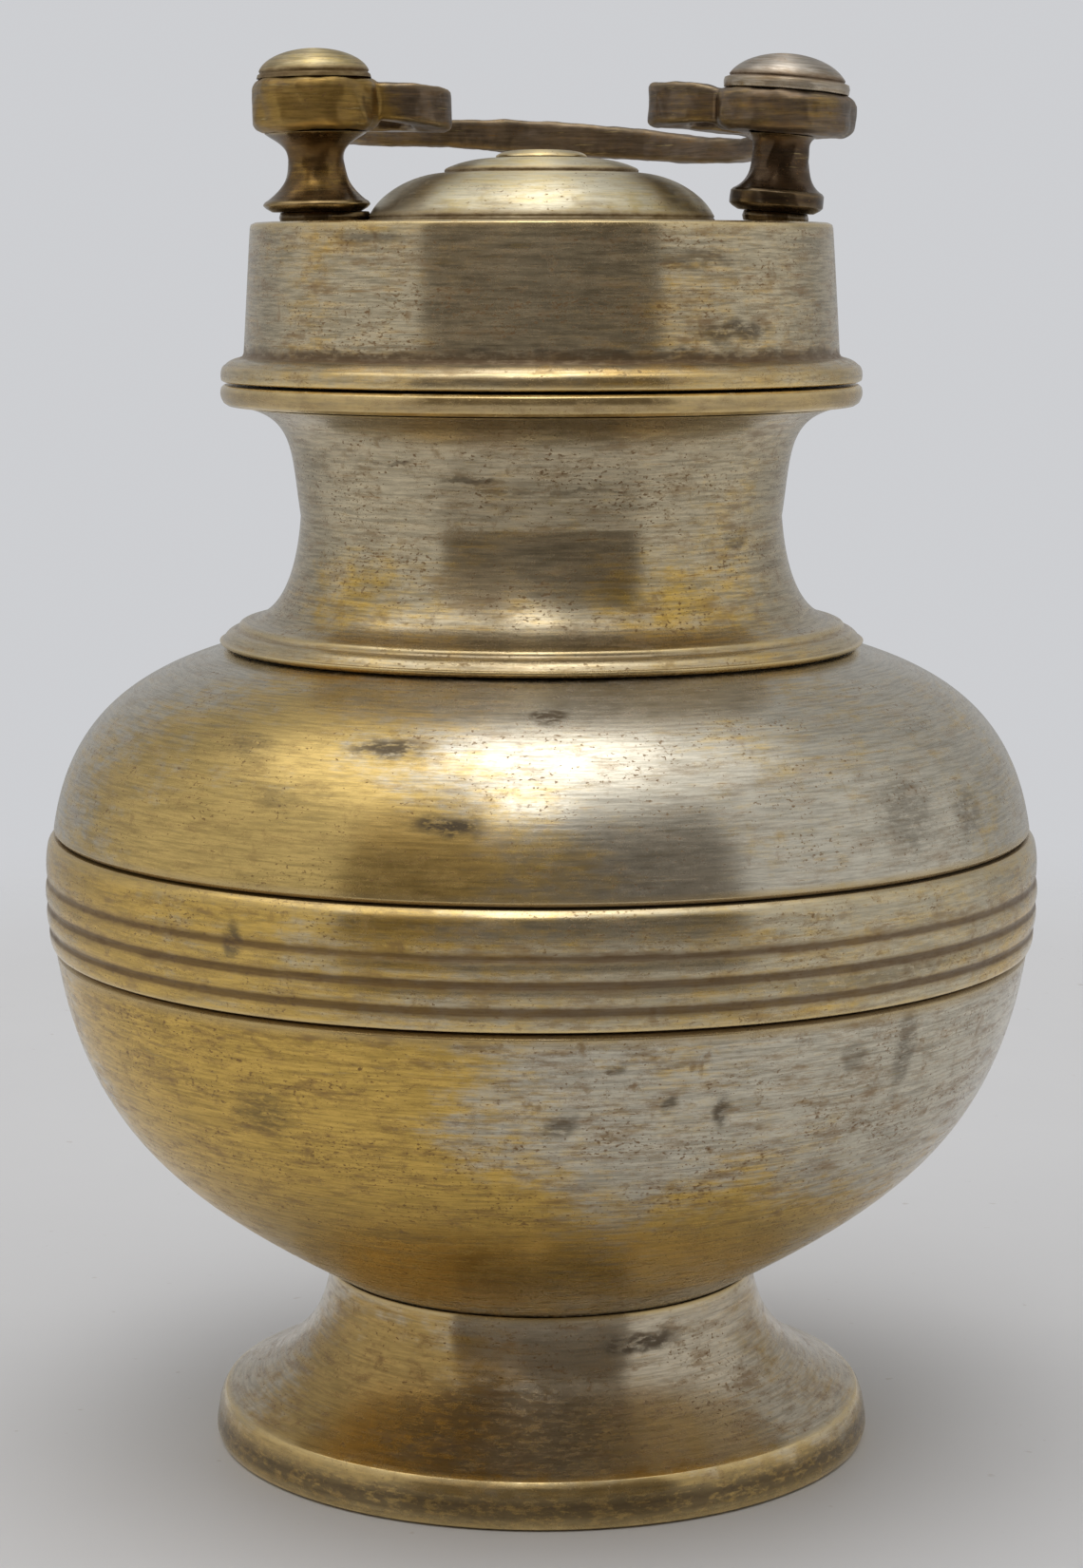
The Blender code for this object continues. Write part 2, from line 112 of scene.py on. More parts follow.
# Each side was set by hand, so the two differ: lean in degrees towards +X, radii, heights, and
# how many degrees up the cap's dome its groove lies
SIDES = {
    "left": {"x": -23.2, "lean": -1.0, "seat_radius": 5.3, "waist_radius": 2.85, "flange_radius": 5.55,
             "flange_top": 130.85, "washer_radius": 3.75, "eye_radius": 6.5, "eye_bottom": 138.0,
             "eye_top": 143.5, "cap_radius": 5.8, "cap_top": 146.5, "cap_groove": 11},
    "right": {"x": 24.2, "lean": 4.5, "seat_radius": 3.5, "waist_radius": 2.95, "flange_radius": 4.85,
              "flange_top": 131.95, "washer_radius": 3.2, "eye_radius": 7.3, "eye_bottom": 137.8,
              "eye_top": 142.1, "cap_radius": 6.4, "cap_top": 146.0, "cap_groove": 20},
}

# The bar's centre line from the left eye, round behind the dome, to the right eye:
# x, y, z and the bar's height there
BAR_ROUTE = (
    (-19.6, 0.8, 141.2, 3.5), (-15.8, 1.6, 141.1, 3.8), (-12.4, 3.2, 140.8, 4.1),
    (-11.5, 6.0, 140.3, 4.1), (-13.2, 8.9, 140.1, 3.6), (-17.2, 10.4, 139.9, 3.0),
    (-21.6, 13.2, 139.4, 2.4), (-22.6, 18.4, 138.8, 2.0), (-19.5, 25.4, 138.4, 1.9),
    (-11.5, 30.8, 138.9, 2.9), (0.0, 33.0, 138.5, 3.7), (11.0, 31.0, 137.7, 3.4),
    (19.0, 25.6, 136.9, 2.8), (23.0, 20.6, 136.9, 2.5), (24.4, 16.4, 137.9, 2.5),
    (22.6, 12.6, 139.2, 2.7), (18.3, 10.2, 139.9, 3.1), (14.7, 8.7, 140.5, 3.8),
    (13.4, 6.0, 141.0, 4.3), (14.3, 3.2, 141.1, 4.2), (17.0, 1.6, 141.0, 3.9), (20.2, 0.8, 140.2, 3.5),
)

# Mesh fineness
FACETS = 240                 # round a wide piece
DOME_FACETS = 180
EYE_FACETS = 120
SMALL_FACETS = 96
STEP = 0.8                   # longest stretch of an outline between two rings of vertices
WELD_VOXEL = 0.25            # grid in which the handle's bar and eyes become one skin

# How far inside a point of an outline lies, which says how dirty it is
OUTER = 0.0
SEAM_SIDE = 0.45
SEAM_EDGE = 0.85
INNER = 1.0


# ---- outlines ----

def bezier(start, handle_a, handle_b, end, count=24):
    """Points along a cubic curve, both ends included."""
    corners = np.array((start, handle_a, handle_b, end))
    points = []
    for t in np.linspace(0.0, 1.0, count + 1):
        weights = ((1 - t) ** 3, 3 * (1 - t) ** 2 * t, 3 * (1 - t) * t ** 2, t ** 3)
        points.append(tuple(np.dot(weights, corners)))
    return points


def inset(outline, distance):
    """The outline moved square to itself, into the wall that it bounds."""
    points = []
    for i, (radius, z) in enumerate(outline):
        before = outline[max(i - 1, 0)]
        after = outline[min(i + 1, len(outline) - 1)]
        along = Vector((after[0] - before[0], after[1] - before[1])).normalized()
        points.append((radius + along.y * distance, z - along.x * distance))
    return points


def marked(outline, inside=OUTER):
    return [(radius, z, inside) for radius, z in outline]


def turn_at(points, i):
    """Signed turn of the outline at point i: negative at an edge, positive in a groove."""
    before = points[i] - points[i - 1]
    after = points[(i + 1) % len(points)] - points[i]
    cross = before[0] * after[1] - before[1] * after[0]
    return math.atan2(cross, before[0] * after[0] + before[1] * after[1])


def softened(outline, radius, closed):
    """Replace each sharp corner by a short curve of about the given radius."""
    sharp = math.radians(20)
    points = np.array(outline, dtype=float)
    result = []
    last = len(points) - 1
    for i, point in enumerate(points):
        end = not closed and i in (0, last)
        turn = 0.0 if end else abs(turn_at(points, i))
        if turn < sharp:
            result.append(point)
            continue
        before = points[i - 1] - point
        after = points[(i + 1) % len(points)] - point
        room = 0.45 * min(np.hypot(*before[:2]), np.hypot(*after[:2]))
        reach = min(radius * math.tan(turn / 2), room)
        first = point + before / np.hypot(*before[:2]) * reach
        final = point + after / np.hypot(*after[:2]) * reach
        for t in np.linspace(0.0, 1.0, 5):
            result.append((1 - t) ** 2 * first + 2 * t * (1 - t) * point + t ** 2 * final)
    return np.array(result)


def refined(points, step, closed):
    """Split long stretches, with a ring close to each end that keeps the shading flat between."""
    hold = 0.12
    result = []
    count = len(points) if closed else len(points) - 1
    for i in range(count):
        start = points[i]
        end = points[(i + 1) % len(points)]
        length = np.hypot(*(end - start)[:2])
        result.append(start)
        if length > 5 * hold:
            pieces = max(1, math.ceil((length - 2 * hold) / step))
            for t in np.linspace(hold / length, 1 - hold / length, pieces + 1):
                result.append(start + (end - start) * t)
    if not closed:
        result.append(points[-1])
    return np.array(result)


def run_of(points):
    """The distance along an outline from its first point to each of its points."""
    lengths = np.hypot(*np.diff(points[:, :2], axis=0).T)
    return np.concatenate(((0.0,), np.cumsum(lengths)))


def wear(points, closed):
    """How worn the edges are and how dirty the grooves, for each point of an outline."""
    edge_reach = 0.3
    groove_reach = 0.45
    turns = np.array([turn_at(points, i) for i in range(len(points))])
    if not closed:
        turns[0] = turns[-1] = 0.0
    along = run_of(points)
    distance = np.abs(along[:, None] - along[None, :])
    if closed:
        whole = along[-1] + np.hypot(*(points[0] - points[-1])[:2])
        distance = np.minimum(distance, whole - distance)
    edge = np.exp(-(distance / edge_reach) ** 2) @ np.maximum(-turns, 0.0)
    groove = np.exp(-(distance / groove_reach) ** 2) @ np.maximum(turns, 0.0)
    return np.clip(edge, 0.0, 1.0), np.clip(groove, 0.0, 1.0)


# ---- meshes ----

def add_attributes(mesh, **attributes):
    for name, values in attributes.items():
        attribute = mesh.attributes.new(name, "FLOAT", "POINT")
        attribute.data.foreach_set("value", values.astype(np.float32))


def add_piece(name, mesh):
    mesh.shade_smooth()
    piece = bpy.data.objects.new(name, mesh)
    bpy.context.scene.collection.objects.link(piece)
    return piece


def hand_turned(angles, radii, heights):
    """The slight unevenness of a cast piece turned by hand."""
    return (0.035 * np.sin(2 * angles + heights / 17) + 0.02 * np.sin(5 * angles - heights / 7)
            + 0.01 * np.sin(11 * angles + heights / 3)) * np.clip(radii / 20, 0, 1)


def turned_rings(points, grid):
    """The vertices of a turned mesh, ring by ring, and the outline point that each belongs to."""
    rings = []
    verts = []
    source = []
    for i, point in enumerate(points):
        on_axis = point[0] < 1e-6
        ring = grid[i, :1] * (0, 0, 1) if on_axis else grid[i]
        rings.append(range(len(verts), len(verts) + len(ring)))
        verts.extend(ring.tolist())
        source.extend([i] * len(ring))
    return rings, verts, source


def faces_between(upper, lower):
    """The faces between two rings of vertices, either of which may be a single one on the axis."""
    count = max(len(upper), len(lower))
    faces = []
    for j in range(count):
        k = (j + 1) % count
        if len(upper) == 1:
            faces.append((upper[0], lower[j], lower[k]))
        elif len(lower) == 1:
            faces.append((upper[j], lower[0], upper[k]))
        else:
            faces.append((upper[j], lower[j], lower[k], upper[k]))
    return faces


def lathe(name, outline, closed=True, corner=0.25, step=STEP, facets=FACETS, relief=hand_turned):
    """A turned mesh.  The outline runs down the outer side; relief moves points outward.

    Its attributes say how worn each vertex is (edge), how dirty (groove and inside), and how far
    along the outline it lies (run).
    """
    points = refined(softened(outline, corner, closed), step, closed)
    edge, groove = wear(points, closed)
    angles = np.linspace(0.0, 2 * math.pi, facets, endpoint=False)
    radii = points[:, 0][:, None]
    heights = points[:, 1][:, None]
    moved = radii + relief(angles[None, :], radii, heights)
    grid = np.stack((moved * np.cos(angles), moved * np.sin(angles),
                     np.broadcast_to(heights, moved.shape)), axis=-1) * MM
    rings, verts, source = turned_rings(points, grid)
    faces = []
    for i in range(len(rings) if closed else len(rings) - 1):
        faces.extend(faces_between(rings[i], rings[(i + 1) % len(rings)]))
    mesh = bpy.data.meshes.new(name)
    mesh.from_pydata(verts, [], faces)
    add_attributes(mesh, edge=edge[source], groove=groove[source], inside=points[source, 2],
                   run=run_of(points)[source])
    return add_piece(name, mesh)


def thread_relief(wall_radius, outward, start_z, turns, start_angle, low, high):
    """A helical tooth on the wall of that radius between two heights, added to the turned surface.

    outward is 1 for a thread on the outside and -1 for one in a bore.
    """
    flank = (THREAD_ROOT - THREAD_TIP) / 2
    run_out = 1 / 14                     # of a turn, over which the tooth fades at either end

    def relief(angles, radii, heights):
        turn = ((angles - start_angle) / (2 * math.pi)) % 1.0
        rise = (heights - start_z) / THREAD_PITCH - turn
        winding = np.round(rise)
        distance = np.abs(rise - winding) * THREAD_PITCH
        tooth = np.clip((THREAD_ROOT / 2 - distance) / flank, 0, 1)
        tooth = tooth * tooth * (3 - 2 * tooth)
        done = winding + turn
        fade = np.clip(done / run_out, 0, 1) * np.clip((turns - done) / run_out, 0, 1)
        on_wall = (heights > low) & (heights < high) & (np.abs(radii - wall_radius) < 0.1)
        return hand_turned(angles, radii, heights) + outward * THREAD_DEPTH * tooth * fade * on_wall
    return relief


# ---- pot pieces ----

def make_foot():
    top = (FOOT_NECK_RADIUS - 0.2, FOOT_TOP + 0.35)
    trumpet = bezier(top, (23.4, 12.7), (25.2, 8.8), (34.1, 4.85), 30)
    rim = [(34.45, 4.3), (34.75, 3.4), (35.05, 1.6), (FOOT_RADIUS, 0.9), (34.9, 0.25), (34.5, 0.0)]
    land = [(31.0, 0.0), (30.6, 2.6)]
    under = list(reversed(inset(trumpet[::3], WALL)))[:-1]
    under.append((top[0] - WALL, top[1] - BOWL_SLOPE * WALL))
    outline = marked(trumpet + rim) + marked(land + under, INNER)
    outline[0] = (*top, SEAM_EDGE)
    return lathe("foot_visual", outline, corner=0.3)


def make_lower_bowl():
    rim_z = BAND_BOTTOM - GAP + SEAM
    flank = bezier((51.3, rim_z - 0.4), (48.5, 35.0), (39.4, 28.2), (22.3, 18.25), 48)
    base = bezier((22.3, 18.25), (16.5, 14.9), (9.0, BOWL_BOTTOM), (0.0, BOWL_BOTTOM), 12)[1:]
    inside = inset(flank[::6] + base[::4], WALL)
    inside[0] = (inside[0][0], rim_z)
    inside[-1] = (0.0, BOWL_BOTTOM + WALL)
    rim = [(50.95, rim_z, SEAM_EDGE), (*flank[0], SEAM_SIDE)]
    outline = marked(reversed(inside), INNER) + rim + marked(flank[1:] + base)
    return lathe("lower_bowl_visual", outline, closed=False, step=1.2)


def make_belly_band():
    crown = BAND_TOP + SEAM
    rounding = 1.0
    samples = 17
    points = []
    rib_top = crown
    for width, height in BAND_RIBS:
        for share in np.linspace(0.03, 0.97, samples):
            z = rib_top - width * share
            root = BAND_ROOT_RADIUS - BAND_BULGE * (z - BOWL_CENTRE_Z) ** 2
            rise = height * math.sin(math.pi * share) ** 0.5
            fall = 0.5 * max(0.0, 1 - (crown - z) / rounding) ** 2
            points.append((root + rise - fall, z))
        rib_top -= width
    inside = [(BAND_INNER_RADIUS, BAND_BOTTOM - SEAM), (BAND_INNER_RADIUS, crown)]
    outline = marked(points) + marked(inside, INNER)
    outline[0] = (*points[0], SEAM_SIDE)
    outline[len(points) - 1] = (*points[-1], SEAM_EDGE)
    return lathe("belly_band_visual", outline, corner=0.12)


def make_upper_bowl():
    low = BAND_TOP + GAP - SEAM
    curve = bezier((SHOULDER_EDGE, SHOULDER_TOP), (45.0, 81.7), (50.0, 75.7), (51.35, low + 0.4), 40)
    inside = list(reversed(inset(curve[::5], WALL)))[1:]
    top = [(NECK_BORE + 1.0, SHOULDER_TOP - WALL), (NECK_BORE + 1.0, SHOULDER_TOP)]
    rim = [(*curve[-1], SEAM_SIDE), (51.0, low, SEAM_EDGE)]
    outline = marked(curve[:-1]) + rim + marked([(49.1, low)] + inside + top, INNER)
    return lathe("upper_bowl_visual", outline, step=1.2)


def make_neck():
    bottom = SHOULDER_TOP + GAP - SEAM
    top = FLANGE_BOTTOM - GAP + SEAM
    flare = bezier((30.9, top), (25.6, 108.6), (26.1, 104.9), (NECK_RADIUS, NECK_WAIST_Z))
    waist = bezier((NECK_RADIUS, NECK_WAIST_Z), (25.6, 93.4), (27.0, 88.3), (30.7, 87.7))[1:]
    bead = bezier((31.1, 87.6), (31.55, 87.5), (31.8, 87.3), (31.82, 87.0), 6)
    slope = bezier((31.95, 86.8), (32.75, 86.72), (33.15, 86.3), (33.5, 85.7), 8)
    foot = [(33.85, 85.62), (33.75, 85.35), (33.2, bottom)]
    inside = [(NECK_BORE + 1.0, bottom), (NECK_BORE, bottom + 4.0), (NECK_BORE, top)]
    outline = marked(flare + waist + bead + slope + foot) + marked(inside, INNER)
    return lathe("neck_visual", outline, corner=0.15)


def make_mouth_ring():
    rim = FLANGE_RADIUS
    low = FLANGE_BOTTOM
    top = FLANGE_TOP
    bead = bezier((rim, top - 0.3), (rim + 0.12, top - 0.8), (rim + 0.12, low + 1.1),
                  (rim - 0.05, low + 0.7), 8)
    lip = [(rim - 0.25, low + 0.3), (rim - 0.7, low)]
    wall = [(MOUTH_RADIUS, z) for z in np.arange(MOUTH_TOP - 0.6, top + 0.2, -0.18)]
    outer = [(MOUTH_RADIUS - 0.45, MOUTH_TOP)] + wall + [(MOUTH_RADIUS, top), (rim - 0.3, top)] + bead + lip
    inner = [(MOUTH_BORE, low), (MOUTH_BORE, MOUTH_TOP)]
    relief = thread_relief(MOUTH_RADIUS, 1, MOUTH_THREAD_START, MOUTH_THREAD_TURNS, 0.0,
                           top + 0.15, MOUTH_TOP - 0.3)
    return lathe("mouth_ring_visual", marked(outer) + marked(inner, INNER), corner=0.2,
                 relief=relief)


# ---- lid pieces ----

def make_lid_shell():
    top = LID_WALL_TOP_RADIUS
    wide = LID_WALL_BOTTOM_RADIUS
    plate = [(RIVET_HOLE, LID_TOP), (DOME_RADIUS + 1.2, LID_TOP), (DOME_RADIUS + 1.5, LID_TOP - 0.12),
             (DOME_RADIUS + 1.8, LID_TOP), (top - 0.55, LID_TOP), (top - 0.1, LID_TOP - 0.2),
             (top, LID_TOP - 0.6)]
    skirt = [(wide, LID_STEP_Z + 0.45), (wide + 0.15, LID_STEP_Z + 0.15), (wide + 0.5, LID_STEP_Z)]
    shelf = bezier((31.7, 114.85), (32.2, 114.72), (32.6, 114.5), (32.85, 114.22), 6)
    face = bezier((33.0, 114.12), (33.3, 113.9), (33.42, 113.3), (33.3, 112.62), 8)
    edge = [(33.05, LID_BOTTOM)]
    bore = [(LID_BORE, z) for z in np.arange(LID_BOTTOM + 0.7, LID_CEILING - 0.2, 0.18)]
    inner = [(LID_BORE + 0.6, LID_BOTTOM)] + bore + [(LID_BORE, LID_CEILING), (RIVET_HOLE, LID_CEILING)]
    relief = thread_relief(LID_BORE, -1, LID_THREAD_START, LID_THREAD_TURNS, math.pi,
                           LID_BOTTOM + 0.5, LID_CEILING - 0.3)
    outline = marked(plate + skirt + shelf + face + edge) + marked(inner, INNER)
    return lathe("lid_shell_visual", outline, corner=0.2, relief=relief)


def make_lid_seal():
    low = MOUTH_TOP + 0.2
    high = LID_CEILING - 0.2
    outer = LID_BORE - 0.3
    ring = [(SEAL_INNER_RADIUS, high), (outer, high), (outer, low), (SEAL_INNER_RADIUS, low)]

    def cut_by_hand(angles, radii, heights):
        return 0.09 * np.sin(7 * angles + 1) + 0.06 * np.sin(17 * angles)
    return lathe("lid_seal_visual", marked(ring), corner=0.3, relief=cut_by_hand)


def make_lid_dome():
    wide = DOME_RADIUS
    low = LID_TOP + 0.02
    cap = bezier((BUTTON_RADIUS + 0.35, 135.35), (7.0, 135.25), (8.7, 134.85), (9.9, 134.25), 12)
    step = [(10.05, 134.05), (10.0, 133.82), (10.35, 133.72)]
    side = bezier((10.6, 133.78), (13.6, 133.5), (16.7, 131.7), (wide - 0.15, 129.6))
    foot = [(wide, 129.35), (wide - 0.12, 129.2), (wide + 0.05, 129.05), (wide, low)]
    inner = [(wide - DOME_WALL, low)] + list(reversed(inset(side[::4], DOME_WALL)))
    outer = [(RIVET_HOLE, 135.3)] + cap + step + side + foot
    outline = marked(outer) + marked(inner + [(RIVET_HOLE, 133.8)], INNER)
    return lathe("lid_dome_visual", outline, corner=0.12, step=0.5, facets=DOME_FACETS)


def rivet_tail():
    """The end of a rivet, spread out in the lid's plate just short of its underside."""
    end_z = LID_CEILING + 0.15
    return [(RIVET_RADIUS, LID_CEILING + 1.0), (TAIL_RADIUS, end_z), (0.0, end_z)]


def make_dome_rivet():
    under = 135.42
    head = bezier((0.0, BUTTON_TOP), (2.6, BUTTON_TOP), (BUTTON_RADIUS - 0.7, BUTTON_TOP - 0.1),
                  (BUTTON_RADIUS - 0.1, BUTTON_TOP - 0.6), 12)
    head += [(BUTTON_RADIUS, under), (RIVET_RADIUS, under)]
    return lathe("dome_rivet_visual", marked(head + rivet_tail()), closed=False, corner=0.15,
                 facets=SMALL_FACETS)


def stood(piece, side):
    """Move a piece to its side of the lid, leaning outward about its foot there."""
    foot = Matrix.Translation((side["x"] * MM, 0, LID_TOP * MM))
    down = Matrix.Translation((0, 0, -LID_TOP * MM))
    piece.data.transform(foot @ Matrix.Rotation(math.radians(side["lean"]), 4, "Y") @ down)
    return piece


def make_post(name, side):
    seat = side["eye_bottom"] - 0.1
    stud_top = side["cap_top"] - STUD_DEPTH
    wide = side["seat_radius"]
    waist = side["waist_radius"]
    flange = side["flange_radius"]
    stud = [(0.0, stud_top), (RIVET_RADIUS, stud_top), (RIVET_RADIUS, seat)]
    top = side["flange_top"]
    flare = bezier((wide, seat), (wide - 0.9, seat - 0.7), (waist + 0.1, seat - 1.1),
                   (waist, POST_WAIST_Z), 14)
    skirt = bezier((waist, POST_WAIST_Z), (waist + 0.1, top + 2.4), (flange - 1.9, top + 1.3),
                   (flange - 0.55, top + 0.25), 14)[1:]
    rim = [(flange - 0.2, top + 0.05), (flange, top - 0.2), (flange, POST_BOTTOM + 0.55),
           (flange - 0.3, POST_BOTTOM + 0.25), (flange - 0.9, POST_BOTTOM - 0.1),
           (RIVET_RADIUS, POST_BOTTOM - 0.1)]
    outline = marked(stud + flare + skirt + rim + rivet_tail())

    def filed(angles, radii, heights):
        return (0.05 * np.sin(3 * angles + heights) + 0.03 * np.sin(8 * angles - 2 * heights)) * (radii > 2.6)
    post = lathe(name + "_post_visual", outline, closed=False, corner=0.2, step=0.5,
                 facets=SMALL_FACETS, relief=filed)
    return stood(post, side)


def make_post_washer(name, side):
    top = POST_BOTTOM - 0.12
    low = LID_TOP + 0.05
    wide = side["washer_radius"]
    ring = [(RIVET_HOLE, top), (wide, top), (wide + 0.15, (top + low) / 2), (wide, low), (RIVET_HOLE, low)]

    def squeezed_out(angles, radii, heights):
        """An uneven rim, which on the left post has a lump towards the dome."""
        away = (angles + math.pi) % (2 * math.pi) - math.pi
        lump = 1.5 * np.exp(-(away / 0.42) ** 2) if side["x"] < 0 else 0.0
        return (lump + 0.12 * np.sin(4 * angles + 1) + 0.06 * np.sin(9 * angles)) * (radii > wide - 0.5)
    washer = lathe(name + "_post_washer_visual", marked(ring), corner=0.2, step=0.4,
                   facets=SMALL_FACETS, relief=squeezed_out)
    return stood(washer, side)


def make_cap(name, side):
    low = side["eye_top"] + 0.05
    height = side["cap_top"] - low
    radius = side["cap_radius"]
    dome = [(radius * math.cos(a), low + height * math.sin(a) ** 0.95)
            for a in np.radians(np.linspace(90, side["cap_groove"], 18))]
    dome[0] = (0.0, side["cap_top"])
    groove_z = dome[-1][1] - 0.15
    lip = [(dome[-1][0] - 0.15, groove_z), (radius + 0.02, groove_z - 0.22), (radius + 0.12, groove_z - 0.6)]
    hole_top = side["cap_top"] - CAP_HOLE_DEPTH
    inner = [(RIVET_HOLE, low), (RIVET_HOLE, hole_top), (0.0, hole_top)]
    outline = marked(dome + lip + [(radius + 0.05, low)] + inner)
    cap = lathe(name + "_cap_visual", outline, closed=False, corner=0.12, step=0.5, facets=SMALL_FACETS)
    return stood(cap, side)


# ---- handle ----

def smooth_route(points, count):
    """A smooth curve through the points, count samples to a stretch."""
    points = np.array(points)
    padded = np.vstack((2 * points[0] - points[1], points, 2 * points[-1] - points[-2]))
    samples = []
    for i in range(1, len(padded) - 2):
        a, b, c, d = padded[i - 1:i + 3]
        for t in np.linspace(0.0, 1.0, count, endpoint=False):
            samples.append(0.5 * (2 * b + (c - a) * t + (2 * a - 5 * b + 4 * c - d) * t ** 2
                                  + (3 * b - a - 3 * c + d) * t ** 3))
    samples.append(padded[-2])
    return np.array(samples)


def bar_section(width, height, bevel, count=3):
    """Corner-rounded rectangle, as offsets to the side and up."""
    points = []
    for corner in range(4):
        start = corner * math.pi / 2
        centre_x = (width / 2 - bevel) * (1 if corner in (0, 3) else -1)
        centre_y = (height / 2 - bevel) * (1 if corner in (0, 1) else -1)
        for i in range(count + 1):
            angle = start + math.pi / 2 * i / count
            points.append((centre_x + bevel * math.cos(angle), centre_y + bevel * math.sin(angle)))
    return points


def make_bar_mesh():
    route = smooth_route(BAR_ROUTE, 8)
    path = route[:, :3]
    tangents = np.gradient(path, axis=0)
    verts = []
    rings = []
    for place, tangent, height in zip(path, tangents, route[:, 3]):
        side = np.array((tangent[1], -tangent[0], 0.0))
        side /= np.linalg.norm(side)
        share = height / BAR_HEIGHT
        section = bar_section(BAR_WIDTH * share, height, BAR_BEVEL)
        rings.append(range(len(verts), len(verts) + len(section)))
        verts.extend(tuple((place + side * across + (0, 0, up)) * MM) for across, up in section)
    faces = [tuple(rings[0]), tuple(reversed(rings[-1]))]
    for first, second in zip(rings, rings[1:]):
        faces.extend(faces_between(first, second))
    mesh = bpy.data.meshes.new("handle_bar")
    mesh.from_pydata(verts, [], faces)
    return mesh


def make_eye(name, side):
    """The ring at one end of the handle, hammered round the post's stud."""
    top = side["eye_top"]
    low = side["eye_bottom"]
    radius = side["eye_radius"]
    ring = [(RIVET_HOLE, top), (radius - 1.0, top), (radius - 0.35, top - 0.35), (radius, top - 0.95),
            (radius, low + 0.9), (radius - 0.35, low + 0.4), (radius - 1.1, low), (RIVET_HOLE, low)]

    def hammered(angles, radii, heights):
        return (0.11 * np.sin(5 * angles + 0.7) + 0.08 * np.sin(9 * angles + heights)) * (radii > 4)
    eye = lathe(name + "_eye", marked(ring), corner=0.15, facets=EYE_FACETS, step=0.4,
                relief=hammered)
    return stood(eye, side)


def vectors_of(mesh, kind):
    """The place ("co") or the "normal" of every vertex."""
    values = np.zeros(len(mesh.vertices) * 3)
    mesh.vertices.foreach_get(kind, values)
    return values.reshape(-1, 3)


def forge(mesh):
    """Make a mesh uneven, like work beaten out by hand."""
    places = vectors_of(mesh, "co")
    dents = [noise.noise(Vector(place / MM) * 0.35) * 0.16 + noise.noise(Vector(place / MM) * 1.1) * 0.05
             for place in places]
    moved = places + vectors_of(mesh, "normal") * np.array(dents)[:, None] * MM
    mesh.vertices.foreach_set("co", moved.ravel())
    mesh.update()


def curvature(mesh):
    """Worn edges and dirty hollows of any mesh, from how each vertex stands to its neighbours."""
    gain = 5
    count = len(mesh.vertices)
    places = vectors_of(mesh, "co")
    normals = vectors_of(mesh, "normal")
    edges = np.zeros(len(mesh.edges) * 2, dtype=int)
    mesh.edges.foreach_get("vertices", edges)
    edges = edges.reshape(-1, 2)
    bulge = np.zeros(count)
    for a, b in (edges.T, edges.T[::-1]):
        step = places[b] - places[a]
        length = np.maximum(np.linalg.norm(step, axis=1), 1e-9)
        np.add.at(bulge, a, np.sum(step * normals[a], axis=1) / length)
    degree = np.bincount(edges.ravel(), minlength=count)
    bulge /= np.maximum(degree, 1)
    for _ in range(3):
        total = np.zeros(count)
        np.add.at(total, edges[:, 0], bulge[edges[:, 1]])
        np.add.at(total, edges[:, 1], bulge[edges[:, 0]])
        bulge = 0.5 * bulge + 0.5 * total / np.maximum(degree, 1)
    return np.clip(-bulge * gain - 0.15, 0, 1), np.clip(bulge * gain - 0.1, 0, 1)


def make_handle():
    """Bar and eyes welded into one skin, then made uneven like forged work."""
    handle = add_piece("handle_visual", make_bar_mesh())
    parts = [handle] + [make_eye(name, side) for name, side in SIDES.items()]
    with bpy.context.temp_override(active_object=handle, selected_editable_objects=parts,
                                   selected_objects=parts):
        bpy.ops.object.join()
    remesh = handle.modifiers.new("weld", "REMESH")
    remesh.mode = "VOXEL"
    remesh.voxel_size = WELD_VOXEL * MM
    relax = handle.modifiers.new("relax", "SMOOTH")
    relax.factor = 0.5
    relax.iterations = 2
    depsgraph = bpy.context.evaluated_depsgraph_get()
    mesh = bpy.data.meshes.new_from_object(handle.evaluated_get(depsgraph))
    handle.modifiers.clear()
    handle.data = mesh
    mesh.name = "handle_visual"
    edge, groove = curvature(mesh)
    forge(mesh)
    add_attributes(mesh, edge=edge, groove=groove, inside=np.zeros(len(mesh.vertices)),
                   run=vectors_of(mesh, "co")[:, 2] / MM)
    mesh.shade_smooth()
    return handle


# ---- shader graphs ----

